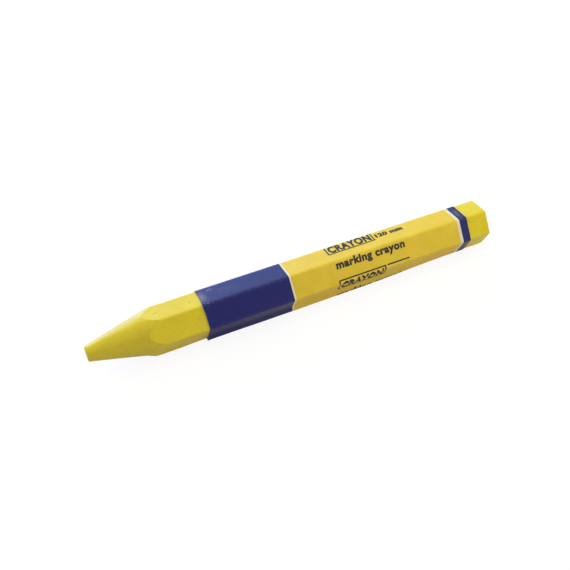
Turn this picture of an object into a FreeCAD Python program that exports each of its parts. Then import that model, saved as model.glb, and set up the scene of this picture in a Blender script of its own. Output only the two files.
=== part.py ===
import FreeCAD, Part
import math
import os

import Sketcher

# A wax marking crayon: a hexagonal stick of wax, sharpened to a blunt cone at one end, in a sheet of
# printed paper that goes once round it and is glued down over its own start.
#
# +X runs from the writing tip to the butt end, +Z is up, and the stick lies on one of its six flats.
# The origin is under the middle of the stick, on the surface that the crayon lies on. The sheet's lap
# is on the underside, so the crayon rests on the lap. Lengths are in millimetres, angles in degrees.

SIZES = {
    # the wax stick
    "overall_length": 120.0,
    "across_flats": 11.5,
    "corner_radius": 0.75,
    "tip_diameter": 4.1,
    "cone_half_angle": 13.5,
    "tip_edge_radius": 0.25,
    "butt_edge_chamfer": 0.25,
    # the sheet of paper: its start is counted from the tip
    "sheet_start": 31.6,
    "sheet_length": 81.6,
    "paper_thickness": 0.12,
    # the lap on the underside: how far the sheet's start lies under it, towards -Y,
    # and how far its end reaches over, towards +Y, both counted from the middle of the flat
    "lap_under": 2.6,
    "lap_over": 2.4,
    # the film of glue in the lap, held back from the sheet's edges and ends
    "glue_thickness": 0.03,
    "glue_edge_gap": 0.1,
    "glue_end_gap": 1.0,
}

SIDES = 6
TURN = 360 / SIDES
UNDERSIDE = 270  # the underside's outward normal, counted from +Y towards +Z

# expressions that more than one piece shares
AXIS_HEIGHT = "sizes.across_flats / 2 + 2 * sizes.paper_thickness + sizes.glue_thickness"
TIP_X = "-sizes.overall_length / 2"

# how a sketch names its origin, its upright axis and the ends of a line or an arc
ORIGIN_POINT = (-1, 1)
UPRIGHT_AXIS = -2
START, END, CENTRE = 1, 2, 3

doc = FreeCAD.newDocument("marking_crayon")


def fill_sheet():
    """Puts the driving dimensions in a spreadsheet, each with an alias."""
    sheet = doc.addObject("Spreadsheet::Sheet", "sizes")
    for row, (alias, value) in enumerate(SIZES.items(), start=1):
        sheet.set(f"A{row}", alias.replace("_", " "))
        sheet.set(f"B{row}", str(value))
        sheet.setAlias(f"B{row}", alias)
    doc.recompute()


def place(piece, x, y, z):
    """Binds a piece's position to three expressions."""
    for axis, expression in zip("xyz", (x, y, z)):
        piece.setExpression(f"Placement.Base.{axis}", expression)


def on_plane(body, name, role):
    """A new sketch on one of the body's own origin planes."""
    sketch = body.newObject("Sketcher::SketchObject", name)
    plane = next(f for f in body.Origin.OriginFeatures if f.Role == role)
    sketch.AttachmentSupport = [(plane, "")]
    sketch.MapMode = "FlatFace"
    return sketch


def constrain(sketch, *details):
    """Adds one constraint to the sketch."""
    return sketch.addConstraint(Sketcher.Constraint(*details))


def dimension(sketch, name, expression, *details):
    """Adds a named dimension to the sketch, driven by an expression."""
    sketch.renameConstraint(constrain(sketch, *details), name)
    sketch.setExpression(f"Constraints.{name}", expression)


def polar(angle, distance):
    """The sketch point at an angle and a distance from the origin."""
    radians = math.radians(angle)
    return FreeCAD.Vector(distance * math.cos(radians), distance * math.sin(radians), 0)


def crossing(angle_a, distance_a, angle_b, distance_b):
    """Where two lines cross, each given by its normal's angle and its distance from the origin."""
    a, b = polar(angle_a, 1), polar(angle_b, 1)
    spread = a.x * b.y - a.y * b.x
    x = (distance_a * b.y - distance_b * a.y) / spread
    y = (a.x * distance_b - b.x * distance_a) / spread
    return FreeCAD.Vector(x, y, 0)


def closed_outline(sketch, points):
    """Draws straight lines through the points and back to the first, joined end to start."""
    count = len(points)
    for i, start in enumerate(points):
        sketch.addGeometry(Part.LineSegment(start, points[(i + 1) % count]), False)
    for i in range(count):
        constrain(sketch, "Coincident", i, END, (i + 1) % count, START)


def flats_circle(sketch):
    """The construction circle that touches the stick's six flats."""
    radius = SIZES["across_flats"] / 2
    circle = Part.Circle(FreeCAD.Vector(), FreeCAD.Vector(0, 0, 1), radius)
    index = sketch.addGeometry(circle, True)
    constrain(sketch, "Coincident", index, CENTRE, *ORIGIN_POINT)
    dimension(sketch, "flats_radius", "sizes.across_flats / 2", "Radius", index, radius)
    return index


def draw_section(sketch):
    """The stick's hexagonal section, with sharp corners and a flat underneath."""
    corner = SIZES["across_flats"] / 2 / math.cos(math.radians(TURN / 2))
    first = UNDERSIDE - TURN / 2
    closed_outline(sketch, [polar(first + TURN * side, corner) for side in range(SIDES)])
    circle = flats_circle(sketch)
    constrain(sketch, "Horizontal", 0)
    for side in range(SIDES):
        constrain(sketch, "Tangent", side, circle)
    for side in range(1, SIDES):
        constrain(sketch, "Equal", 0, side)


def draw_sharpening(sketch):
    """The triangle that turns off the front end, over the cone's side and in front of the flats."""
    tip = SIZES["tip_diameter"] / 2
    clear = SIZES["across_flats"] * 0.7
    slope = math.tan(math.radians(SIZES["cone_half_angle"]))
    cone_side, clear_side = 0, 1
    closed_outline(sketch, [
        FreeCAD.Vector(0, tip, 0),
        FreeCAD.Vector((clear - tip) / slope, clear, 0),
        FreeCAD.Vector(0, clear, 0),
    ])
    constrain(sketch, "Horizontal", clear_side)
    constrain(sketch, "PointOnObject", cone_side, START, UPRIGHT_AXIS)
    constrain(sketch, "PointOnObject", clear_side, END, UPRIGHT_AXIS)
    dimension(sketch, "tip_radius", "sizes.tip_diameter / 2",
              "DistanceY", *ORIGIN_POINT, cone_side, START, tip)
    dimension(sketch, "clear_radius", "sizes.across_flats * 0.7",
              "DistanceY", *ORIGIN_POINT, clear_side, END, clear)
    dimension(sketch, "half_angle", "sizes.cone_half_angle",
              "Angle", cone_side, math.atan(slope))


def draw_sheet_path(sketch):
    """The sheet's inner side: from its start under the stick, once round, and over the start again.

    Seven straight runs are joined by six arcs that follow the stick's corners. The last run, the lap,
    lies further from the axis by the paper and the glue under it.
    """
    radius = SIZES["corner_radius"]
    flat = SIZES["across_flats"] / 2
    angles = [UNDERSIDE + TURN * run for run in range(SIDES + 1)]
    distances = [flat] * SIDES + [flat + SIZES["paper_thickness"] + SIZES["glue_thickness"]]
    lines = [2 * run for run in range(SIDES + 1)]
    arcs = [line + 1 for line in lines[:-1]]

    centres = [
        crossing(angles[i], distances[i] - radius, angles[i + 1], distances[i + 1] - radius)
        for i in range(SIDES)
    ]
    starts = [FreeCAD.Vector(-SIZES["lap_under"], -distances[0], 0)]
    starts += [centres[i] + polar(angles[i + 1], radius) for i in range(SIDES)]
    ends = [centres[i] + polar(angles[i], radius) for i in range(SIDES)]
    ends += [FreeCAD.Vector(SIZES["lap_over"], -distances[-1], 0)]
    for run in range(SIDES + 1):
        sketch.addGeometry(Part.LineSegment(starts[run], ends[run]), False)
        if run < SIDES:
            circle = Part.Circle(centres[run], FreeCAD.Vector(0, 0, 1), radius)
            sweep = (math.radians(angles[run]), math.radians(angles[run + 1]))
            sketch.addGeometry(Part.ArcOfCircle(circle, *sweep), False)
    circle = flats_circle(sketch)

    for i, arc in enumerate(arcs):
        constrain(sketch, "Tangent", lines[i], END, arc, START)
        constrain(sketch, "Tangent", arc, END, lines[i + 1], START)
        constrain(sketch, "Tangent", lines[i], circle)
        heading = (TURN * i + 180) % 360 - 180
        constrain(sketch, "Angle", lines[i], math.radians(heading))
    constrain(sketch, "Horizontal", lines[-1])
    for arc in arcs[1:]:
        constrain(sketch, "Equal", arcs[0], arc)
    dimension(sketch, "corner_radius", "sizes.corner_radius", "Radius", arcs[0], radius)
    dimension(sketch, "lap_under", "sizes.lap_under",
              "DistanceX", lines[0], START, *ORIGIN_POINT, SIZES["lap_under"])
    dimension(sketch, "lap_over", "sizes.lap_over",
              "DistanceX", *ORIGIN_POINT, lines[-1], END, SIZES["lap_over"])
    dimension(sketch, "lap_distance",
              "sizes.across_flats / 2 + sizes.paper_thickness + sizes.glue_thickness",
              "Distance", *ORIGIN_POINT, lines[-1], distances[-1])


def edges_where(shape, test):
    """The names of the shape's edges that pass a test."""
    return [f"Edge{i}" for i, edge in enumerate(shape.Edges, start=1) if test(edge)]


def in_plane(edge, x):
    """True if the whole edge lies in the plane at x."""
    return max(abs(edge.BoundBox.XMin - x), abs(edge.BoundBox.XMax - x)) < 1e-6


def make_wax_stick():
    """The moulded stick, with eased corners, the sharpened cone in front and the squared butt behind."""
    body = doc.addObject("PartDesign::Body", "wax_stick")
    length = SIZES["overall_length"]

    section = on_plane(body, "stick_section", "YZ_Plane")
    draw_section(section)
    stick = body.newObject("PartDesign::Pad", "stick")
    stick.Profile = section
    stick.setExpression("Length", "sizes.overall_length")
    doc.recompute()

    corners = body.newObject("PartDesign::Fillet", "long_corners")
    corners.Base = (stick, edges_where(stick.Shape, lambda edge: edge.Length > length - 1e-6))
    corners.setExpression("Radius", "sizes.corner_radius")
    doc.recompute()

    sharpening = on_plane(body, "sharpening", "XZ_Plane")
    draw_sharpening(sharpening)
    cone = body.newObject("PartDesign::Groove", "cone")
    cone.Profile = sharpening
    cone.ReferenceAxis = (sharpening, ["H_Axis"])
    cone.Angle = 360
    doc.recompute()
    if cone.Shape.Volume > corners.Shape.Volume - 1:
        raise SystemExit("the sharpening has taken no wax off")

    tip_edge = body.newObject("PartDesign::Fillet", "tip_edge")
    tip_edge.Base = (cone, edges_where(cone.Shape, lambda edge: in_plane(edge, 0)))
    tip_edge.setExpression("Radius", "sizes.tip_edge_radius")
    doc.recompute()

    butt_edge = body.newObject("PartDesign::Chamfer", "butt_edge")
    butt_edge.Base = (tip_edge, edges_where(tip_edge.Shape, lambda edge: in_plane(edge, length)))
    butt_edge.setExpression("Size", "sizes.butt_edge_chamfer")

    place(body, TIP_X, "0", AXIS_HEIGHT)
    return body


def make_paper_wrapper():
    """The sheet: its path round the stick, thickened outwards and run along the stick."""
    path = doc.addObject("Sketcher::SketchObject", "sheet_path")
    draw_sheet_path(path)
    across_stick = FreeCAD.Rotation(FreeCAD.Vector(1, 1, 1), 120)  # the sketch's X, Y to Y, Z
    path.Placement = FreeCAD.Placement(FreeCAD.Vector(), across_stick)

    section = doc.addObject("Part::Offset2D", "sheet_section")
    section.Source = path
    section.Mode = "Skin"
    section.Fill = True
    section.setExpression("Value", "sizes.paper_thickness")

    sheet = doc.addObject("Part::Extrusion", "paper_wrapper")
    sheet.Base = section
    sheet.DirMode = "Custom"
    sheet.Dir = FreeCAD.Vector(1, 0, 0)
    sheet.Solid = True
    sheet.setExpression("LengthFwd", "sizes.sheet_length")
    place(sheet, f"{TIP_X} + sizes.sheet_start", "0", AXIS_HEIGHT)
    return sheet


def make_lap_glue():
    """The film of glue between the sheet's start and the lap over it."""
    film = doc.addObject("Part::Box", "lap_glue")
    film.setExpression("Length", "sizes.sheet_length - 2 * sizes.glue_end_gap")
    film.setExpression("Width", "sizes.lap_under + sizes.lap_over - 2 * sizes.glue_edge_gap")
    film.setExpression("Height", "sizes.glue_thickness")
    place(film, f"{TIP_X} + sizes.sheet_start + sizes.glue_end_gap",
          "sizes.glue_edge_gap - sizes.lap_under", "sizes.paper_thickness")
    return film


def check(pieces):
    """Stops if a step of the model has failed or a piece isn't one valid solid."""
    for step in doc.Objects:
        if {"Invalid", "Error"} & set(step.State):
            raise SystemExit(f"{step.Name} has failed: {step.State}")
    for piece in pieces:
        shape = piece.Shape
        if shape.isNull() or not shape.isValid() or len(shape.Solids) != 1:
            raise SystemExit(f"{piece.Label} isn't one valid solid")
        box = shape.optimalBoundingBox()
        print(f"{piece.Label}: {shape.Volume:.1f} mm3, x {box.XMin:.2f} to {box.XMax:.2f},"
              f" y {box.YMin:.2f} to {box.YMax:.2f}, z {box.ZMin:.2f} to {box.ZMax:.2f}")


def main():
    fill_sheet()
    pieces = [make_wax_stick(), make_paper_wrapper(), make_lap_glue()]
    for piece in pieces:
        piece.Label = piece.Name
    doc.recompute()
    check(pieces)
    os.makedirs("parts", exist_ok=True)
    for piece in pieces:
        piece.Shape.exportStep(f"parts/{piece.Label}.step")


main()
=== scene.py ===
import math

import bmesh
import bpy
from mathutils import Matrix, Vector, noise


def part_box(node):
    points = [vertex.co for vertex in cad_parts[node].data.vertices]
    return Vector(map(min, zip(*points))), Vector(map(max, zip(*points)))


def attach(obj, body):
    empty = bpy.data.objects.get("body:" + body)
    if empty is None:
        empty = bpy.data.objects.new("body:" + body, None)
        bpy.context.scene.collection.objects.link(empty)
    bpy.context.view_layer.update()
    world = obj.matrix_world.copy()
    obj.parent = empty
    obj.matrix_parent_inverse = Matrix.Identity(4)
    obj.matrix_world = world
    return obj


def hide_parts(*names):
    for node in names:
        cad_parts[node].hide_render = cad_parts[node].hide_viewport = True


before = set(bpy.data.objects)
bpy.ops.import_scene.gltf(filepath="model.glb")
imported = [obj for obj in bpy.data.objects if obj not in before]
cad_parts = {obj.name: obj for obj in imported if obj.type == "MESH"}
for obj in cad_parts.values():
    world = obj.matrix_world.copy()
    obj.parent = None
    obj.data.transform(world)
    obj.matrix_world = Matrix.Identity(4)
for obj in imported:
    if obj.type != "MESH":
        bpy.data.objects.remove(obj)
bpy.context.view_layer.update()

# A wax marking crayon in its printed paper wrapper, lying on one flat of its hexagonal stick.
# +X runs from the writing tip to the butt end and +Z is up. Every length is in metres.

MM = 0.001
TURN = math.radians(60)

# ---------------------------------------------------------------- sizes, from the frame
wax_low, wax_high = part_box("wax_stick")
paper_low, paper_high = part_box("paper_wrapper")
glue_low, glue_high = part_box("lap_glue")

TIP_X, BUTT_X = wax_low.x, wax_high.x
AXIS_Z = (wax_low.z + wax_high.z) / 2
FLAT = (wax_high.z - wax_low.z) / 2  # from the axis to a flat
CORNER = (FLAT / math.cos(TURN / 2) - wax_high.y) / (1 / math.cos(TURN / 2) - 1)
SHEET_FRONT, SHEET_REAR = paper_low.x, paper_high.x
PAPER = paper_high.z - wax_high.z
GLUE = glue_high.z - glue_low.z
GLUE_EDGE_GAP = 0.1 * MM  # how far the glue is held back from the sheet's edges
LAP_UNDER, LAP_OVER = -glue_low.y + GLUE_EDGE_GAP, glue_high.y + GLUE_EDGE_GAP

# ---------------------------------------------------------------- sizes of what the frame doesn't hold
TIP_RADIUS = 2.05 * MM
CONE_SLOPE = math.tan(math.radians(13.5))
TIP_EDGE = 0.20 * MM  # how far the tip's rim is rounded
BUTT_EDGE = 0.14 * MM  # and the butt's edge

# where the printed bands end, counted from the tip
BLUE_END = TIP_X + 56.1 * MM
PANEL_START = TIP_X + 56.6 * MM
PANEL_END = TIP_X + 109.8 * MM
REAR_BAND_START = TIP_X + 110.7 * MM


# ---------------------------------------------------------------- the stick's shape
def smooth_min(a, b, width):
    """The smaller of two lengths, eased over a width where they are nearly equal."""
    near = max(width - abs(a - b), 0) / width
    return min(a, b) - near * near * width / 4


def hexagon_radius(angle, flat):
    """From the axis to a rounded hexagon's side, at an angle from +Y, with a flat on top."""
    from_face = abs((angle - TURN / 2) % TURN)
    from_face = min(from_face, TURN - from_face)
    if flat * math.tan(from_face) <= (flat - CORNER) * math.tan(TURN / 2):
        return flat / math.cos(from_face)
    from_corner = TURN / 2 - from_face
    centre = (flat - CORNER) / math.cos(TURN / 2)
    return centre * math.cos(from_corner) + math.sqrt(CORNER**2 - (centre * math.sin(from_corner)) ** 2)


def section_angles(across_flat, round_corner):
    """Angles round the stick, evenly spaced over each flat and each rounded corner."""
    half = (FLAT - CORNER) * math.tan(TURN / 2)
    centre = (FLAT - CORNER) / math.cos(TURN / 2)
    angles = []
    for side in range(6):
        face = TURN / 2 + TURN * side
        for i in range(across_flat):
            angles.append(face + math.atan2(-half + 2 * half * i / across_flat, FLAT))
        for i in range(round_corner):
            bend = TURN * i / round_corner
            y = FLAT - CORNER + CORNER * math.cos(bend)
            x = half + CORNER * math.sin(bend)
            angles.append(face + math.atan2(x, y))
    return angles


def stations(*stretches):
    """Positions along a line: each stretch is (start, end, step), and the last end is kept."""
    found = []
    for start, end, step in stretches:
        count = max(1, round((end - start) / step))
        found += [start + (end - start) * i / count for i in range(count)]
    return found + [stretches[-1][1]]


def ripple(point, size, seed=0.0):
    """Smooth noise from -1 to 1, whose bumps are about the given size."""
    return noise.noise(point / size + Vector((seed, seed * 1.7, seed * 0.3)))


def bump_at(value, middle, width):
    """A smooth bump, 1 at the middle and near 0 two widths away."""
    return math.exp(-(((value - middle) / width) ** 2))


# ---------------------------------------------------------------- meshes
def mesh_object(name, points, faces):
    """A smooth-shaded object made of points and faces."""
    mesh = bpy.data.meshes.new(name)
    mesh.from_pydata([tuple(p) for p in points], [], faces)
    mesh.validate()
    piece = bpy.data.objects.new(name, mesh)
    bpy.context.scene.collection.objects.link(piece)
    shade_by_angle(mesh)
    return piece


def shade_by_angle(mesh, sharp=math.radians(35)):
    """Smooth shading, broken at edges sharper than an angle, with the normals facing out."""
    work = bmesh.new()
    work.from_mesh(mesh)
    bmesh.ops.recalc_face_normals(work, faces=work.faces)
    for face in work.faces:
        face.smooth = True
    for edge in work.edges:
        edge.smooth = len(edge.link_faces) == 2 and edge.calc_face_angle(0) < sharp
    work.to_mesh(mesh)
    work.free()


def store(piece, name, values):
    """Stores one number for each point of a piece, for its material to read."""
    layer = piece.data.attributes.new(name, "FLOAT", "POINT")
    layer.data.foreach_set("value", values)


def dent(x, angle, spots):
    """How deep the dents are at a place on the stick. Each spot is (x, angle, size, depth)."""
    total = 0
    for spot_x, spot_angle, size, depth in spots:
        across = (angle - math.radians(spot_angle)) * FLAT
        reach = ((x - TIP_X - spot_x) ** 2 + across**2) / size**2
        if reach < 9:  # further away it adds next to nothing
            total += depth * math.exp(-reach)
    return total


# pits in the wax: distance from the tip, the direction they face in degrees, size and depth
PITS = [
    (18.5 * MM, 95, 0.20 * MM, 0.03 * MM),
    (18.9 * MM, 94, 0.18 * MM, 0.04 * MM),
    (19.3 * MM, 92, 0.20 * MM, 0.04 * MM),
    (19.7 * MM, 91, 0.20 * MM, 0.04 * MM),
    (20.1 * MM, 89, 0.16 * MM, 0.02 * MM),
    (26.6 * MM, 93, 0.16 * MM, 0.03 * MM),
    (26.9 * MM, 92, 0.14 * MM, 0.02 * MM),
    (28.5 * MM, 94, 0.18 * MM, 0.05 * MM),
    (28.9 * MM, 93, 0.18 * MM, 0.05 * MM),
    (29.0 * MM, 107, 0.12 * MM, 0.03 * MM),
    (29.6 * MM, 147, 0.17 * MM, 0.06 * MM),
    (30.0 * MM, 148, 0.12 * MM, 0.04 * MM),
    (21.1 * MM, 138, 0.15 * MM, 0.04 * MM),
    (11.2 * MM, 117, 0.14 * MM, 0.02 * MM),
    (1.1 * MM, 108, 0.15 * MM, 0.03 * MM),
    (15.9 * MM, 190, 0.15 * MM, 0.04 * MM),
    (117.3 * MM, 80, 0.15 * MM, 0.04 * MM),
    (117.2 * MM, 90, 0.14 * MM, 0.04 * MM),
    (116.9 * MM, 146, 0.15 * MM, 0.03 * MM),
    (24.0 * MM, 30, 0.22 * MM, 0.05 * MM),
    (27.5 * MM, 205, 0.18 * MM, 0.04 * MM),
    (21.0 * MM, 335, 0.22 * MM, 0.05 * MM),
    (13.0 * MM, 355, 0.20 * MM, 0.04 * MM),
    (115.8 * MM, 22, 0.20 * MM, 0.05 * MM),
]

# raised places on the bare wax: height, distance from the tip, length, the direction they face in degrees,
# and how far round they reach in radians. The swelling lies along the lower front corner, and the lip was
# pushed up where the turning of the cone ran into that corner.
SWELLING = (0.2 * MM, 21 * MM, 7 * MM, 238, 0.17)
LIP = (0.36 * MM, 16.7 * MM, 1.5 * MM, 235, 0.24)

# the cone was turned a little off the stick's axis, and its tip leans towards the lower front corner
CONE_SHIFT_BACK, CONE_SHIFT_DOWN, CONE_LENGTH = 0.083 * MM, 0.144 * MM, 17 * MM
TIP_LEAN, TIP_LEAN_FADE, TIP_LEAN_DIRECTION = 0.15 * MM, 8 * MM, 4 * TURN

JUNCTION_WIDTH = 0.045 * MM  # how softly the cone runs into the flats
JUNCTION_OFFSETS = [i * MM for i in (-0.22, -0.15, -0.10, -0.06, -0.03, 0, 0.03, 0.06, 0.10, 0.15, 0.22)]
SHOULDER_END = TIP_X + 20.4 * MM  # behind this, every row of the mesh is square to the stick
CONE_STEPS, SHOULDER_STEPS = 44, 14
COVERED = (SHEET_FRONT + 0.6 * MM, SHEET_REAR - 0.6 * MM)  # where the paper hides the wax
COVERED_GAP = 0.04 * MM  # how far the hidden wax is drawn in, clear of the paper
BUTT_DISH, END_RIPPLE = 0.10 * MM, 0.07 * MM
WAX_WAVES, WAX_RIPPLES, TOOL_MARKS = 0.012 * MM, 0.004 * MM, 0.004 * MM
FULL_PIT = 0.03 * MM  # a pit this deep has its full colour


def cone_slope(angle):
    """The cone's slope at an angle, steeper on the side towards which its axis was off the stick's."""
    shift = CONE_SHIFT_BACK * math.cos(angle) - CONE_SHIFT_DOWN * math.sin(angle)
    return CONE_SLOPE + shift / CONE_LENGTH


def raised(x, angle, height, from_tip, length, direction, reach):
    """How much one raised place adds to the wax at a place on the stick."""
    along = bump_at(x, TIP_X + from_tip, length)
    return height * along * bump_at(angle % math.tau, math.radians(direction), reach)


def lean(x):
    """How far the cone is off the stick's axis, most at the tip."""
    return TIP_LEAN * math.exp(-(x - TIP_X) / TIP_LEAN_FADE)


def relief(place, angle, turned):
    """The wax's fine unevenness, with faint rings and lengthwise streaks where it was turned."""
    height = WAX_WAVES * ripple(place, 7 * MM) + WAX_RIPPLES * ripple(place, 1.3 * MM, 3)
    if turned:
        height += TOOL_MARKS * ripple(Vector((place.x, 0, 0)), 0.6 * MM, 5)
        height += TOOL_MARKS * ripple(Vector((place.x / 15, angle * FLAT, 0)), 0.5 * MM, 7)
    return height


def bare_stations(angle):
    """Where one lengthwise line of the mesh is divided, with points on both sides of the cone's end."""
    end = TIP_X + (hexagon_radius(angle, FLAT) - TIP_RADIUS) / cone_slope(angle)
    front = TIP_X + TIP_EDGE
    length = end + JUNCTION_OFFSETS[0] - front
    places = [front + length * i / CONE_STEPS for i in range(CONE_STEPS)]
    places += [end + offset for offset in JUNCTION_OFFSETS]
    start = places[-1]
    return places + [start + (SHOULDER_END - start) * i / SHOULDER_STEPS for i in range(1, SHOULDER_STEPS)]


def wax_rows(bare_count):
    """The rows of the wax's mesh, from the middle of the tip's face to the middle of the butt's.

    Each is (place, how far its outline is drawn in, the share of its radius that is left). The place is x,
    or in front of the shoulder's end the number of a bare station, because those aren't square to the stick.
    """
    along = stations(
        (SHOULDER_END, COVERED[0], 0.28 * MM),
        (COVERED[0], COVERED[1], 1.6 * MM),
        (COVERED[1], BUTT_X - BUTT_EDGE, 0.22 * MM),
    )
    bend = [math.pi / 2 * i / 5 for i in range(1, 6)]
    tip_shares = (0.02, 0.15, 0.3, 0.45, 0.6, 0.75, 0.88)
    butt_shares = (0.96, 0.91, 0.83, 0.74, 0.64, 0.54, 0.43, 0.32, 0.2, 0.1, 0.02)
    rows = [(TIP_X, TIP_EDGE, share) for share in tip_shares]
    rows += [(TIP_X + TIP_EDGE * (1 - math.sin(a)), TIP_EDGE * (1 - math.cos(a)), 1) for a in reversed(bend)]
    rows += [(i, 0, 1) for i in range(bare_count)]
    rows += [(x, 0, 1) for x in along]
    rows += [(BUTT_X - BUTT_EDGE * (1 - math.sin(a)), BUTT_EDGE * (1 - math.cos(a)), 1) for a in bend]
    return rows + [(BUTT_X, BUTT_EDGE, share) for share in butt_shares]


def make_wax():
    """The moulded stick: its flats, the turned cone, rounded edges and worn, pitted surface."""
    around = section_angles(28, 6)
    bare = [bare_stations(angle) for angle in around]
    rows = wax_rows(len(bare[0]))
    points, pits = [], []
    for row, inset, share in rows:
        for column, angle in enumerate(around):
            x = bare[column][row] if isinstance(row, int) else row
            cone = TIP_RADIUS + (x - TIP_X) * cone_slope(angle)
            hexagon = hexagon_radius(angle, FLAT - inset) + raised(x, angle, *SWELLING)
            radius = smooth_min(hexagon, cone - inset, JUNCTION_WIDTH) + raised(x, angle, *LIP)
            place = Vector((x, radius * math.cos(angle), radius * math.sin(angle)))
            uneven = relief(place, angle, cone < radius + 0.1 * MM)
            pit = dent(x, angle % math.tau, PITS)
            radius += -COVERED_GAP if COVERED[0] < x < COVERED[1] else uneven - pit
            radius *= share
            end = 0
            if share < 1:
                end = END_RIPPLE * ripple(place * share, 1.4 * MM, 8) * (1 - share)
                end -= BUTT_DISH * (1 - share**2) if x == BUTT_X else 0
            y = radius * math.cos(angle) + lean(x) * math.cos(TIP_LEAN_DIRECTION)
            z = radius * math.sin(angle) + lean(x) * math.sin(TIP_LEAN_DIRECTION) + AXIS_Z
            points.append((x + end, y, z))
            pits.append(min(1.0, pit / FULL_PIT))

    count = len(around)
    faces = []
    for row in range(len(rows) - 1):
        for i in range(count):
            a, b = row * count + i, row * count + (i + 1) % count
            faces.append((a, b, b + count, a + count))
    faces.append(tuple(range(count)))
    faces.append(tuple(range((len(rows) - 1) * count, len(rows) * count)))
    piece = mesh_object("wax_stick_body", points, faces)
    store(piece, "pit", pits)
    return piece


# ---------------------------------------------------------------- the sheet of paper
def sheet_runs():
    """The sheet's inner side seen from the butt: straight runs and the arcs between them.

    Each is (kind, length, start point, direction or centre, angle of its normal), in the order in which
    the sheet goes round: underside, back, top, front, and the lap over the underside again.
    """
    normals = [math.radians(270) + TURN * i for i in range(7)]
    distances = [FLAT] * 6 + [FLAT + PAPER + GLUE]

    def outward(angle):
        return Vector((math.cos(angle), math.sin(angle)))

    def crossing(i, j):
        a, b = outward(normals[i]), outward(normals[j])
        da, db = distances[i] - CORNER, distances[j] - CORNER
        cross = a.x * b.y - a.y * b.x
        return Vector(((da * b.y - db * a.y) / cross, (a.x * db - b.x * da) / cross))

    centres = [crossing(i, i + 1) for i in range(6)]
    runs = []
    start = Vector((-LAP_UNDER, -FLAT))
    for i in range(7):
        end = centres[i] + CORNER * outward(normals[i]) if i < 6 else Vector((LAP_OVER, -distances[6]))
        runs.append(("flat", (end - start).length, start, (end - start).normalized(), normals[i]))
        if i < 6:
            runs.append(("corner", CORNER * TURN, centres[i], None, normals[i]))
            start = centres[i] + CORNER * outward(normals[i + 1])
    return runs


RUNS = sheet_runs()


def corner_place(index):
    """How far along the sheet the middle of a corner is. Corner 0 is the first one that the sheet turns."""
    return sum(run[1] for run in RUNS[: 2 * index + 1]) + CORNER * TURN / 2


BACK_CORNER = corner_place(2)  # between the top and the back
FRONT_CORNER = corner_place(3)  # between the top and the front
MIDDLE_CORNER = corner_place(4)  # the foremost one
LAP_CORNER = corner_place(5)  # where the sheet turns under and becomes the lap


def sheet_frame(s):
    """The sheet's inner side at a distance along it: the point (y, z from the axis) and the normal."""
    for kind, length, place, along, angle in RUNS:
        if s <= length or (kind, length) == RUNS[-1][:2]:
            if kind == "flat":
                return place + along * s, Vector((math.cos(angle), math.sin(angle)))
            turned = angle + s / CORNER
            normal = Vector((math.cos(turned), math.sin(turned)))
            return place + CORNER * normal, normal
        s -= length
    raise ValueError("past the end of the sheet")


PAPER_WAVES, PAPER_RIPPLES = 0.008 * MM, 0.003 * MM
ENDS_LIFT, LIFT_FADE = 0.03 * MM, 0.5 * MM


def looseness(s, x):
    """How far the sheet stands off the wax at a place on it. It stands off most at its two ends."""
    in_lap = s > LAP_CORNER + CORNER * TURN / 2
    under_lap = s < corner_place(0) - CORNER * TURN / 2
    if in_lap or under_lap:
        return 0
    place = Vector((x, s, 0))
    loose = PAPER_WAVES * (1 + ripple(place, 6 * MM, 2))
    loose += PAPER_RIPPLES * (1 + ripple(place, 1.6 * MM, 4))
    lift = math.exp(-(x - SHEET_FRONT) / LIFT_FADE) + 0.6 * math.exp(-(SHEET_REAR - x) / LIFT_FADE)
    return loose + ENDS_LIFT * lift * (1 + ripple(Vector((s, 0, 0)), 2.2 * MM, 6))


FOLD_CREASE = MIDDLE_CORNER + 4.2 * MM  # the sheet leaves the wax here to go round the lap's corner
FOLD_FADE = 2.0 * MM
FOLD_CLOSING = (TIP_X + 76 * MM, TIP_X + 108 * MM)  # where it starts to close up, and where it is tight
FOLD_OUT = 0.84 * MM  # how far it stands out in front
FOLD_BULGE, BULGE_PLACE, BULGE_LENGTH = 0.10 * MM, TIP_X + 54 * MM, 12 * MM
FOLD_WAVE = 0.04 * MM


def fold(s, x):
    """How far the loose fold before the lap stands out towards -Y. It is tight at the rear."""
    if s <= FOLD_CREASE:
        return 0
    share = min((s - FOLD_CREASE) / (LAP_CORNER - FOLD_CREASE), max(0, 1 - (s - LAP_CORNER) / FOLD_FADE))
    tight = min(max((x - FOLD_CLOSING[0]) / (FOLD_CLOSING[1] - FOLD_CLOSING[0]), 0), 1)
    out = FOLD_OUT + FOLD_BULGE * bump_at(x, BULGE_PLACE, BULGE_LENGTH)
    out += FOLD_WAVE * ripple(Vector((x, 0, 0)), 5 * MM, 11)
    return share * out * (1 - tight * tight * (3 - 2 * tight))


def on_sheet(s, x, height):
    """The point at a height over the sheet's inner side, in the row frame. It stays above the table."""
    point, normal = sheet_frame(s)
    point = point + normal * (looseness(s, x) + height)
    return Vector((x, point.x - fold(s, x), max(point.y + AXIS_Z, PAPER - height if s > LAP_CORNER else 0)))


def sheet_stations():
    """Where the sheet's mesh is divided, along the sheet and along the stick."""
    places, start = [0.0], 0
    for kind, length, *_ in RUNS:
        count = 8 if kind == "corner" else round(length / (0.3 * MM))
        places += [start + length * (i + 1) / count for i in range(count)]
        start += length
    x = SHEET_FRONT
    along = stations(
        (x, x + 1.0 * MM, 0.1 * MM),
        (x + 1.0 * MM, BLUE_END, 0.4 * MM),
        (BLUE_END, SHEET_REAR - 1.0 * MM, 0.5 * MM),
        (SHEET_REAR - 1.0 * MM, SHEET_REAR, 0.1 * MM),
    )
    return places, along


PLACES, ALONG = sheet_stations()

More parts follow.
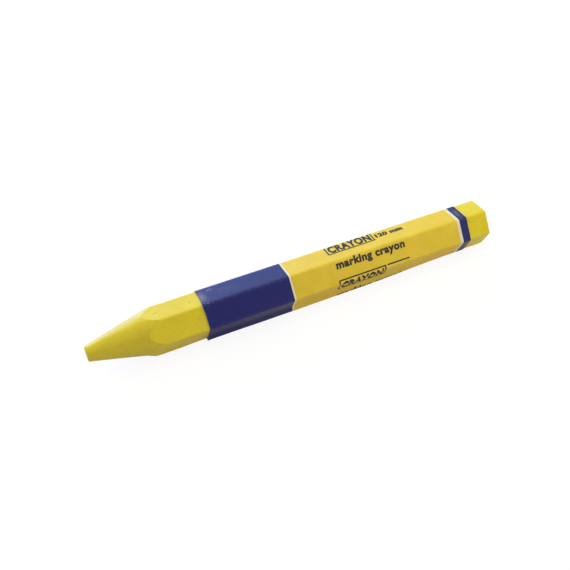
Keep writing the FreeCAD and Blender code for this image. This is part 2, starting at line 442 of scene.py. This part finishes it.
# scuffed places: distance from the tip in mm, a corner and the distance past it in mm, half length and half
# width in mm, and strength
SCUFFS = [
    (32.0, BACK_CORNER, 3.4, 2.6, 4.0, 0.70),
    (35.0, BACK_CORNER, 1.4, 1.6, 0.8, 0.66),
    (39.0, BACK_CORNER, 3.0, 6.0, 3.0, 0.44),
    (33.0, FRONT_CORNER, -0.2, 0.9, 0.5, 0.60),
    (54.6, FRONT_CORNER, -1.6, 0.30, 0.22, 0.95),
    (53.4, FRONT_CORNER, -0.5, 0.45, 0.16, 0.95),
    (48.2, FRONT_CORNER, -0.3, 0.30, 0.14, 0.75),
    (40.0, FRONT_CORNER, -1.8, 0.30, 0.20, 0.70),
    (35.0, MIDDLE_CORNER, 0.1, 0.5, 0.2, 0.62),
    (49.6, MIDDLE_CORNER, 0.2, 0.4, 0.2, 0.70),
    (111.9, BACK_CORNER, 3.4, 1.4, 4.5, 0.64),
    (112.2, MIDDLE_CORNER, 1.8, 1.0, 2.2, 0.66),
]

CREASE_WIDTH = 0.22 * MM
CREASE_WEAR, END_WEAR, END_WEAR_LENGTH = 0.45, 0.5, 0.2 * MM


def creased(s):
    """1 where the sheet is bent round one of the stick's six corners, and 0 away from them."""
    return max(bump_at(s, corner_place(index), CREASE_WIDTH) for index in range(6))


def scuffed(s, x):
    """How worn the print is at a place on the sheet, from 0 to 1."""
    worn = CREASE_WEAR * creased(s)
    for spot_x, corner, offset, size_x, size_s, strength in SCUFFS:
        reach = ((x - TIP_X) / MM - spot_x) ** 2 / size_x**2
        reach += ((s - corner) / MM - offset) ** 2 / size_s**2
        worn = max(worn, strength * math.exp(-reach))
    ends = math.exp(-(x - SHEET_FRONT) / END_WEAR_LENGTH) + math.exp(-(SHEET_REAR - x) / END_WEAR_LENGTH)
    return max(worn, END_WEAR * ends)


RAGGED, RAGGED_FADE = 0.09 * MM, 0.4 * MM
# how far ahead of the frame's box the front end is cut: everywhere, at the front corner, and at the lap's
CUT_AHEAD, CUT_AT_CORNER, CUT_AT_LAP = 0.12 * MM, 0.20 * MM, 0.35 * MM


def torn(s, x):
    """How far the sheet's cut ends run in and out, fading away from the ends. The front one isn't square."""
    front = math.exp(-(x - SHEET_FRONT) / RAGGED_FADE)
    rear = math.exp(-(SHEET_REAR - x) / RAGGED_FADE)
    down = min(max((s - MIDDLE_CORNER) / (LAP_CORNER - MIDDLE_CORNER), 0), 1)
    ahead = CUT_AHEAD + CUT_AT_CORNER * bump_at(s, FRONT_CORNER, 1.5 * MM) + CUT_AT_LAP * down
    return (front + rear) * RAGGED * ripple(Vector((s, x > 0, 0)), 0.45 * MM, 13) - front * ahead


def make_sheet():
    """The sheet of paper, with its real thickness, its lap and its slightly lifted, uneven ends."""
    count = len(ALONG)
    points, inside, worn, crease = [], [], [], []
    for height in (0, PAPER):
        for s in PLACES:
            for x in ALONG:
                points.append(on_sheet(s, x + torn(s, x), height))
                inside.append(0.0 if height else 1.0)
                worn.append(scuffed(s, x))
                crease.append(creased(s))
    side = len(PLACES) * count

    def quad_strip(a, b):
        return [(a[i], a[i + 1], b[i + 1], b[i]) for i in range(len(a) - 1)]

    faces = []
    for row in range(len(PLACES) - 1):
        here = [row * count + i for i in range(count)]
        ahead = [i + count for i in here]
        faces += quad_strip(here, ahead)
        faces += quad_strip([side + i for i in ahead], [side + i for i in here])
    first = list(range(count))
    last = [side - count + i for i in range(count)]
    front = [row * count for row in range(len(PLACES))]
    rear = [row * count + count - 1 for row in range(len(PLACES))]
    for rim in (first, last, front, rear):
        faces += quad_strip(rim, [side + i for i in rim])
    piece = mesh_object("wrapper_sheet", points, faces)
    store(piece, "inside", inside)
    store(piece, "worn", worn)
    store(piece, "crease", crease)
    return piece


# ---------------------------------------------------------------- the printing
INK = 0.012 * MM  # the ink's thickness
INK_SINK = 0.004 * MM  # how far it is pressed into the paper
PRINT_PITCH = 12.7 * MM  # the printing repeats at this distance round the stick
PRINT_LEFT = TIP_X + 69.8 * MM
BOX_TOP = MIDDLE_CORNER - 1.15 * MM
BOX_HEIGHT = 4.3 * MM
BOX_WIDTH = 15.0 * MM
LINE = 0.40 * MM  # the thickness of the box and the rule
RULE_GAP, RULE_LENGTH = 0.5 * MM, 7.2 * MM
BOLD_BASELINE = 9.5 * MM  # below the box's top
# the front repeat's bold line lies on the loose fold, which brings it a little further up
BOLD_BASELINE_FRONT = 8.7 * MM


def lettering(words, left, width, baseline, cap_height, weight, gap=1.0):
    """Generic words as flat shapes: x along the stick, y down the sheet, z through the ink."""
    curve = bpy.data.curves.new("words", "FONT")
    curve.body = words
    curve.offset = weight
    curve.space_character = gap
    curve.extrude = 0.5
    curve.resolution_u = 4
    holder = bpy.data.objects.new("words", curve)
    bpy.context.scene.collection.objects.link(holder)
    bpy.context.view_layer.update()
    graph = bpy.context.evaluated_depsgraph_get()
    mesh = bpy.data.meshes.new_from_object(holder.evaluated_get(graph))
    bpy.data.objects.remove(holder)
    low = min(v.co.x for v in mesh.vertices)
    high = max(v.co.x for v in mesh.vertices)
    top = max(v.co.y for v in mesh.vertices)
    for v in mesh.vertices:
        v.co = Vector((
            left + (v.co.x - low) / (high - low) * width,
            baseline - v.co.y / top * cap_height,
            v.co.z + 0.5,
        ))
    return mesh


def strip(left, right, top, bottom):
    """A plain printed bar."""
    mesh = bpy.data.meshes.new("bar")
    corners = [(x, y, z) for z in (0, 1) for y in (top, bottom) for x in (left, right)]
    sides = [(0, 1, 3, 2), (4, 6, 7, 5), (0, 4, 5, 1), (1, 5, 7, 3), (3, 7, 6, 2), (2, 6, 4, 0)]
    mesh.from_pydata(corners, [], sides)
    return mesh


def printed(name, shapes):
    """Lays flat shapes on the sheet as ink, cut where the sheet's mesh is, so that they bend with it."""
    work = bmesh.new()
    for shape in shapes:
        work.from_mesh(shape)
        bpy.data.meshes.remove(shape)
    for axis, cuts in ((0, ALONG), (1, PLACES)):
        low = min(v.co[axis] for v in work.verts)
        high = max(v.co[axis] for v in work.verts)
        normal = Vector((1, 0, 0)) if axis == 0 else Vector((0, 1, 0))
        for cut in cuts:
            if low < cut < high:
                geometry = work.verts[:] + work.edges[:] + work.faces[:]
                bmesh.ops.bisect_plane(work, geom=geometry, plane_co=normal * cut, plane_no=normal, dist=1e-7)
    for v in work.verts:
        v.co = on_sheet(v.co.y, v.co.x, PAPER - INK_SINK + INK * v.co.z)
    mesh = bpy.data.meshes.new(name)
    work.to_mesh(mesh)
    work.free()
    piece = bpy.data.objects.new(name, mesh)
    bpy.context.scene.collection.objects.link(piece)
    shade_by_angle(mesh)
    return piece


def make_printing():
    """The generic printing, repeated round the stick: a boxed word with a rule, a bold line and a size."""
    pieces = []
    for repeat, label in enumerate(("front", "top", "rear")):
        top = BOX_TOP - PRINT_PITCH * repeat
        left, right = PRINT_LEFT, PRINT_LEFT + BOX_WIDTH
        bottom = top + BOX_HEIGHT
        boxed = lettering(
            "CRAYON", left + 0.8 * MM, BOX_WIDTH - 1.6 * MM,
            baseline=bottom - 0.72 * MM, cap_height=2.85 * MM, weight=0.055, gap=1.10,
        )
        pieces.append(printed(f"printed_box_{label}", [
            strip(left, right, top, top + LINE),
            strip(left, right, bottom - LINE, bottom),
            strip(left, left + LINE, top + LINE, bottom - LINE),
            strip(right - LINE, right, top + LINE, bottom - LINE),
            boxed,
        ]))
        pieces.append(printed(f"printed_rule_{label}", [
            strip(right + RULE_GAP, right + RULE_GAP + RULE_LENGTH, top, top + LINE),
        ]))
        bold = lettering(
            "marking crayon", left + 0.3 * MM, 21.8 * MM,
            baseline=top + (BOLD_BASELINE_FRONT if label == "front" else BOLD_BASELINE),
            cap_height=2.25 * MM, weight=0.05, gap=1.10,
        )
        pieces.append(printed(f"printed_line_{label}", [bold]))
        if label != "front":
            size = lettering(
                "120 mm", left + 15.7 * MM, 8.8 * MM,
                baseline=top + 3.35 * MM, cap_height=1.55 * MM, weight=0.07, gap=1.08,
            )
            pieces.append(printed(f"printed_size_{label}", [size]))
    return pieces


# ---------------------------------------------------------------- the glue
GLUE_CLEARANCE = 0.002 * MM  # between the film and the paper over and under it
GLUE_WAVER = 0.35 * MM  # how far its edges run in


def make_glue():
    """The film of glue in the lap, with uneven edges."""
    along = stations((glue_low.x, glue_high.x, 0.8 * MM))
    across = 14
    points, faces = [], []
    for z in (glue_low.z + GLUE_CLEARANCE, glue_high.z - GLUE_CLEARANCE):
        for x in along:
            left = glue_low.y + GLUE_WAVER * (1 + ripple(Vector((x, 0, 0)), 3 * MM, 9)) / 2
            right = glue_high.y - GLUE_WAVER * (1 + ripple(Vector((x, 1, 0)), 3 * MM, 9)) / 2
            points += [(x, left + (right - left) * i / across, z) for i in range(across + 1)]
    row = across + 1
    side = len(along) * row
    for j in range(len(along) - 1):
        for i in range(across):
            a = j * row + i
            faces.append((a, a + 1, a + 1 + row, a + row))
            faces.append((side + a, side + a + row, side + a + 1 + row, side + a + 1))
        for a, b in ((j * row, (j + 1) * row), (j * row + across, (j + 1) * row + across)):
            faces.append((a, b, b + side, a + side))
    for start in (0, side - row):
        for i in range(start, start + across):
            faces.append((i, i + 1, i + 1 + side, i + side))
    return mesh_object("lap_glue_film", points, faces)


# ---------------------------------------------------------------- materials
def new_material(name):
    """A material with nothing but its shader, and that shader."""
    material = bpy.data.materials.new(name)
    material.use_nodes = True
    return material, material.node_tree, material.node_tree.nodes["Principled BSDF"]


def feed(tree, socket, value):
    """Joins an output to the socket, or sets the socket's plain value."""
    if isinstance(value, bpy.types.NodeSocket):
        tree.links.new(value, socket)
    else:
        socket.default_value = value


def add(tree, kind, inputs, **settings):
    """A new node with its settings and inputs."""
    made = tree.nodes.new("ShaderNode" + kind)
    for key, value in settings.items():
        setattr(made, key, value)
    for key, value in inputs.items():
        feed(tree, made.inputs[key], value)
    return made


def maths(tree, operation, a, b=0.0, clamp=False):
    """The result of one sum."""
    return add(tree, "Math", {0: a, 1: b}, operation=operation, use_clamp=clamp).outputs[0]


def blend_colours(tree, share, a, b):
    """Colour a, turning to colour b as the share goes from 0 to 1."""
    return add(tree, "Mix", {0: share, 6: a, 7: b}, data_type="RGBA").outputs[2]


def laid_over(tree, colour, top, share, strength):
    """A colour with another one over it, by a share that is weakened to a strength."""
    return blend_colours(tree, maths(tree, "MULTIPLY", share, strength), colour, top)


def grains(tree, place, scale, detail=3.0, roughness=0.55, stretch=None):
    """Noise from 0 to 1 over the object's own coordinates. The scale is in bumps to the metre."""
    if stretch:
        place = add(tree, "Mapping", {"Vector": place, "Scale": stretch}).outputs[0]
    inputs = {"Vector": place, "Scale": scale, "Detail": detail, "Roughness": roughness}
    return add(tree, "TexNoise", inputs).outputs["Fac"]


def spread(tree, value, low, high, new_low=0.0, new_high=1.0):
    """Stretches a number's range to another one, and holds it there."""
    inputs = {0: value, 1: low, 2: high, 3: new_low, 4: new_high}
    return add(tree, "MapRange", inputs, clamp=True).outputs[0]


def bumped(tree, height, strength, distance, under=None):
    """A bump's normal, over another bump if one is given."""
    inputs = {"Height": height, "Strength": strength, "Distance": distance}
    if under is not None:
        inputs["Normal"] = under
    return add(tree, "Bump", inputs).outputs[0]


def stored(tree, name):
    """A number that was stored at the mesh's points."""
    return add(tree, "Attribute", {}, attribute_name=name).outputs["Fac"]


WAX_LIGHT = (0.828, 0.664, 0.038, 1)
WAX_DEEP = (0.755, 0.576, 0.026, 1)
WAX_PALE = (0.800, 0.700, 0.105, 1)
GRAIN = (0.640, 0.470, 0.025, 1)
SPECK = (0.42, 0.24, 0.04, 1)


def wax_material():
    """Pigmented wax: faintly mottled and streaked, with fine grain, tiny pits and darker specks."""
    material, tree, shader = new_material("wax")
    place = add(tree, "TexCoord", {}).outputs["Object"]
    cloud = grains(tree, place, 160, 4)
    streak = grains(tree, place, 1100, 3, stretch=(0.10, 1, 1))
    grain = grains(tree, place, 5200, 2, 0.7)
    bloom = spread(tree, grains(tree, place, 420, 5, 0.7), 0.56, 0.78)
    colour = blend_colours(tree, spread(tree, cloud, 0.3, 0.7), WAX_LIGHT, WAX_DEEP)
    colour = laid_over(tree, colour, WAX_PALE, bloom, 0.22)
    colour = laid_over(tree, colour, GRAIN, spread(tree, grain, 0.45, 0.70), 0.30)
    mottle = spread(tree, grains(tree, place, 2000, 3, 0.7), 0.42, 0.62)
    colour = laid_over(tree, colour, GRAIN, mottle, 0.30)
    fleck = add(tree, "TexVoronoi", {"Vector": place, "Scale": 900.0}).outputs["Distance"]
    fleck = spread(tree, maths(tree, "ADD", fleck, grain), 0.40, 0.50, 1, 0)
    colour = laid_over(tree, colour, SPECK, fleck, 0.35)
    pit = spread(tree, maths(tree, "ADD", stored(tree, "pit"), grain), 0.90, 1.20)
    colour = laid_over(tree, colour, SPECK, pit, 0.55)
    feed(tree, shader.inputs["Base Color"], colour)
    rough = spread(tree, grain, 0.3, 0.7, 0.27, 0.34)
    rough = maths(tree, "ADD", rough, maths(tree, "MULTIPLY", bloom, 0.12))
    feed(tree, shader.inputs["Roughness"], rough)
    normal = bumped(tree, grains(tree, place, 800, 4, 0.6), 0.25, 0.04 * MM)
    normal = bumped(tree, grain, 0.50, 0.012 * MM, normal)
    normal = bumped(tree, streak, 0.40, 0.015 * MM, normal)
    feed(tree, shader.inputs["Normal"], normal)
    shader.inputs["IOR"].default_value = 1.44
    shader.inputs["Subsurface Weight"].default_value = 0.10
    shader.inputs["Subsurface Radius"].default_value = (1.0 * MM, 0.8 * MM, 0.2 * MM)
    shader.inputs["Subsurface Scale"].default_value = 1.0
    return material


BLUE = (0.0025, 0.002, 0.133, 1)
BLUE_THIN = (0.012, 0.014, 0.220, 1)
PANEL = (0.825, 0.592, 0.048, 1)
PANEL_DEEP = (0.760, 0.518, 0.030, 1)
PANEL_DULL = (0.690, 0.480, 0.040, 1)
IVORY = (0.79, 0.72, 0.67, 1)
BARE = (0.50, 0.47, 0.48, 1)  # where the print is rubbed off
BOARD = (0.55, 0.47, 0.34, 1)  # the sheet's inner side
INK_DARK = (0.008, 0.007, 0.020, 1)
INK_THIN = (0.020, 0.017, 0.045, 1)
GLUE_PALE = (0.85, 0.80, 0.62, 1)
GLUE_DARK = (0.66, 0.56, 0.36, 1)


def paper_material():
    """Coated paper: printed bands, fine fibres under the varnish, scuffed and whitened at its edges."""
    material, tree, shader = new_material("printed_paper")
    place = add(tree, "TexCoord", {}).outputs["Object"]
    fibre = grains(tree, place, 3400, 4, 0.7, stretch=(0.6, 1, 1))
    grain = grains(tree, place, 9000, 2, 0.7)
    cloud = grains(tree, place, 220, 4)
    x = add(tree, "SeparateXYZ", {0: place}).outputs[0]
    ragged = maths(tree, "MULTIPLY", maths(tree, "SUBTRACT", grain, 0.5), 0.10 * MM)
    x = maths(tree, "ADD", x, ragged)

    def past(edge):
        return spread(tree, x, edge - 0.02 * MM, edge + 0.02 * MM)

    blue = blend_colours(tree, spread(tree, fibre, 0.35, 0.8), BLUE, BLUE_THIN)
    panel = blend_colours(tree, spread(tree, cloud, 0.3, 0.7), PANEL, PANEL_DEEP)
    panel = laid_over(tree, panel, IVORY, spread(tree, grain, 0.5, 0.8), 0.08)
    mottle = spread(tree, grains(tree, place, 2200, 3, 0.7), 0.42, 0.62)
    panel = laid_over(tree, panel, PANEL_DULL, mottle, 0.25)
    colour = blend_colours(tree, past(BLUE_END), blue, IVORY)
    colour = blend_colours(tree, past(PANEL_START), colour, panel)
    colour = blend_colours(tree, past(PANEL_END), colour, IVORY)
    colour = blend_colours(tree, past(REAR_BAND_START), colour, blue)
    scratch = grains(tree, place, 4200, 4, 0.7, stretch=(0.7, 1, 1))
    rubbed = maths(tree, "ADD", stored(tree, "worn"), maths(tree, "MULTIPLY", scratch, 2.0))
    rubbed = spread(tree, rubbed, 1.52, 1.90)
    on_panel = maths(tree, "SUBTRACT", past(PANEL_START), past(PANEL_END))
    share = maths(tree, "MULTIPLY", rubbed, spread(tree, on_panel, 0, 1, 0.6, 0.2))
    colour = blend_colours(tree, share, colour, BARE)
    colour = blend_colours(tree, stored(tree, "inside"), colour, BOARD)
    feed(tree, shader.inputs["Base Color"], colour)
    rough = spread(tree, fibre, 0.3, 0.7, 0.34, 0.46)
    rough = maths(tree, "ADD", rough, maths(tree, "MULTIPLY", rubbed, 0.35))
    rough = maths(tree, "ADD", rough, spread(tree, stored(tree, "crease"), 0.2, 0.9, 0, 0.35), clamp=True)
    feed(tree, shader.inputs["Roughness"], rough)
    normal = bumped(tree, grains(tree, place, 500, 3), 0.25, 0.03 * MM)
    normal = bumped(tree, fibre, 0.45, 0.012 * MM, normal)
    normal = bumped(tree, maths(tree, "MULTIPLY", rubbed, -1), 0.5, 0.015 * MM, normal)
    feed(tree, shader.inputs["Normal"], normal)
    shader.inputs["IOR"].default_value = 1.5
    return material


def ink_material():
    """Dark blue printing ink, a little uneven, with pinholes that show the paper."""
    material, tree, shader = new_material("ink")
    place = add(tree, "TexCoord", {}).outputs["Object"]
    fine = grains(tree, place, 7000, 3, 0.7)
    colour = blend_colours(tree, spread(tree, fine, 0.3, 0.7), INK_DARK, INK_THIN)
    colour = blend_colours(tree, spread(tree, fine, 0.78, 0.84, 0, 0.4), colour, PANEL_DEEP)
    feed(tree, shader.inputs["Base Color"], colour)
    feed(tree, shader.inputs["Roughness"], spread(tree, fine, 0.3, 0.7, 0.55, 0.70))
    feed(tree, shader.inputs["Normal"], bumped(tree, fine, 0.2, 0.01 * MM))
    return material


def glue_material():
    """Dried paper glue: yellowish, with trapped bubbles."""
    material, tree, shader = new_material("paper_glue")
    place = add(tree, "TexCoord", {}).outputs["Object"]
    bubbles = add(tree, "TexVoronoi", {"Vector": place, "Scale": 1800.0}).outputs["Distance"]
    colour = blend_colours(tree, spread(tree, bubbles, 0.05, 0.5), GLUE_PALE, GLUE_DARK)
    feed(tree, shader.inputs["Base Color"], colour)
    feed(tree, shader.inputs["Roughness"], spread(tree, bubbles, 0, 0.6, 0.25, 0.5))
    feed(tree, shader.inputs["Normal"], bumped(tree, bubbles, 0.4, 0.02 * MM))
    return material


# the table's two tones and its glow, as the crayon gets them and as the camera sees them
TABLE = ((0.46, 0.46, 0.46, 1), (0.48, 0.48, 0.48, 1))
TABLE_SEEN = (0.10, 0.10, 0.10, 1)
TABLE_GLOW = (1, 0.84, 0.50, 1)
TABLE_GLOW_SEEN = (0.99, 0.985, 1, 1)
GLOW_STRENGTH = 0.171


def floor_material():
    """A plain pale table top. It looks whiter than the light that it throws on the crayon."""
    material, tree, shader = new_material("pale_table")
    place = add(tree, "TexCoord", {}).outputs["Object"]
    colour = blend_colours(tree, grains(tree, place, 30, 2), *TABLE)
    path = add(tree, "LightPath", {}).outputs
    seen = path["Is Camera Ray"]
    colour = blend_colours(tree, seen, colour, TABLE_SEEN)
    feed(tree, shader.inputs["Base Color"], colour)
    shader.inputs["Roughness"].default_value = 0.8
    feed(tree, shader.inputs["Emission Color"], blend_colours(tree, seen, TABLE_GLOW, TABLE_GLOW_SEEN))
    away = add(tree, "VectorMath", {0: place}, operation="LENGTH").outputs["Value"]
    white = maths(tree, "MULTIPLY", seen, spread(tree, away, 0.3, 0.9, 0.90, 1.0))
    thrown = spread(tree, seen, 0, 1, GLOW_STRENGTH, 0)
    # painted reflection: for reflected rays only, the table glows more strongly beside the paper than beside
    # the bare wax in front
    x = add(tree, "SeparateXYZ", {0: place}).outputs[0]
    beside_paper = spread(tree, x, -24 * MM, -10 * MM, 0.03, 0.16)
    painted_reflection = maths(tree, "MULTIPLY", path["Is Glossy Ray"], beside_paper)
    strength = maths(tree, "ADD", maths(tree, "ADD", white, thrown), painted_reflection)
    feed(tree, shader.inputs["Emission Strength"], strength)
    return material


# ---------------------------------------------------------------- the object
wax = make_wax()
wax.data.materials.append(wax_material())
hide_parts("wax_stick")

sheet = make_sheet()
sheet.data.materials.append(paper_material())
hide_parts("paper_wrapper")

glue = make_glue()
glue.data.materials.append(glue_material())
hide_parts("lap_glue")

ink = ink_material()
printing = make_printing()
for piece in printing:
    piece.data.materials.append(ink)

for piece in [wax, sheet, glue, *printing]:
    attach(piece, "root")


# ---------------------------------------------------------------- the table and the light
def make_floor(size):
    """The table top that the crayon lies on."""
    mesh = bpy.data.meshes.new("table_top")
    half = size / 2
    corners = [(-half, -half, 0), (half, -half, 0), (half, half, 0), (-half, half, 0)]
    mesh.from_pydata(corners, [], [(0, 1, 2, 3)])
    floor = bpy.data.objects.new("table_top", mesh)
    bpy.context.scene.collection.objects.link(floor)
    mesh.materials.append(floor_material())


def softbox(name, azimuth, elevation, size, power, colour, distance=0.8):
    """A large soft light that faces the crayon. The azimuth is in degrees from +Y towards +X."""
    a, e = math.radians(azimuth), math.radians(elevation)
    place = distance * Vector((math.cos(e) * math.sin(a), math.cos(e) * math.cos(a), math.sin(e)))
    light = bpy.data.lights.new(name, "AREA")
    light.shape = "RECTANGLE"
    light.size, light.size_y = size
    light.energy = power
    light.color = colour
    holder = bpy.data.objects.new(name, light)
    holder.location = place
    holder.rotation_euler = (-place).to_track_quat("-Z", "Y").to_euler()
    holder.visible_camera = False
    bpy.context.scene.collection.objects.link(holder)


def make_world():
    """A room that gives no light of its own, seen as white."""
    world = bpy.data.worlds.new("studio")
    world.use_nodes = True
    tree = world.node_tree
    seen = add(tree, "LightPath", {}).outputs["Is Camera Ray"]
    feed(tree, tree.nodes["Background"].inputs["Strength"], seen)
    tree.nodes["Background"].inputs["Color"].default_value = (1, 1, 1, 1)
    bpy.context.scene.world = world


# the soft lights: name, azimuth and elevation in degrees, size in metres, power in watts, and tint
LIGHTS = [
    ("window_low", 8, 7, (0.36, 0.18), 3.2, (0.41, 0.56, 1.0)),
    ("window_low_right", 34, 7, (0.36, 0.18), 0.5, (0.10, 0.25, 1.0)),
    ("window_left", -18, 13.5, (0.36, 0.36), 1.38, (0.54, 0.60, 1.0)),
    ("window_left_high", -18, 39.5, (0.36, 0.36), 1.50, (0.90, 1.0, 0.76)),
    ("window_right", 8, 20, (0.36, 0.18), 1.25, (0.26, 0.37, 1.0)),
    ("window_right_high", 21, 39.5, (0.72, 0.36), 1.05, (0.73, 0.97, 1.0)),
    ("overhead_softbox", 0, 80, (0.5, 0.5), 1.21, (0.95, 1.0, 0.41)),
    ("right_softbox", 98, 40, (0.6, 0.42), 3.05, (0.98, 1.0, 0.12)),
    ("low_right_softbox", 106, 15, (0.5, 0.25), 3.17, (1.0, 0.93, 0.62)),
    ("left_softbox", -60, 35, (0.5, 0.5), 1.34, (0.92, 1.0, 0.49)),
    ("far_left_softbox", -100, 30, (0.5, 0.5), 3.30, (0.28, 0.26, 1.0)),
    ("front_softbox", 180, 50, (0.5, 0.5), 1.14, (0.87, 0.86, 1.0)),
    ("low_front_panel", 160, 8, (0.8, 0.18), 0.40, (0.95, 1.0, 0.63)),
]

FLOOR_SIZE = 6.0

make_floor(FLOOR_SIZE)
for light in LIGHTS:
    softbox(*light)
make_world()
bpy.context.scene.view_settings.view_transform = "Standard"

# ---------------------------------------------------------------- the camera
AZIMUTH = math.radians(-22.597)
ELEVATION = math.radians(39.270)
ROLL = math.radians(-3.896)
DISTANCE = 217.95 * MM
LOOK_AT = Vector((-3.333 * MM, 1.023 * MM, AXIS_Z - 0.411 * MM))

back = Vector((
    math.sin(AZIMUTH) * math.cos(ELEVATION),
    -math.cos(AZIMUTH) * math.cos(ELEVATION),
    math.sin(ELEVATION),
))
level = Vector((math.cos(AZIMUTH), math.sin(AZIMUTH), 0))
right = Matrix.Rotation(ROLL, 3, back) @ level
turned = Matrix((right, back.cross(right), back)).transposed()

camera = bpy.data.objects.new("camera", bpy.data.cameras.new("camera"))
camera.data.sensor_width = 36
camera.data.lens = 49.461
camera.data.clip_start = 0.01
camera.matrix_world = Matrix.Translation(LOOK_AT + back * DISTANCE) @ turned.to_4x4()
bpy.context.scene.collection.objects.link(camera)
bpy.context.scene.camera = camera
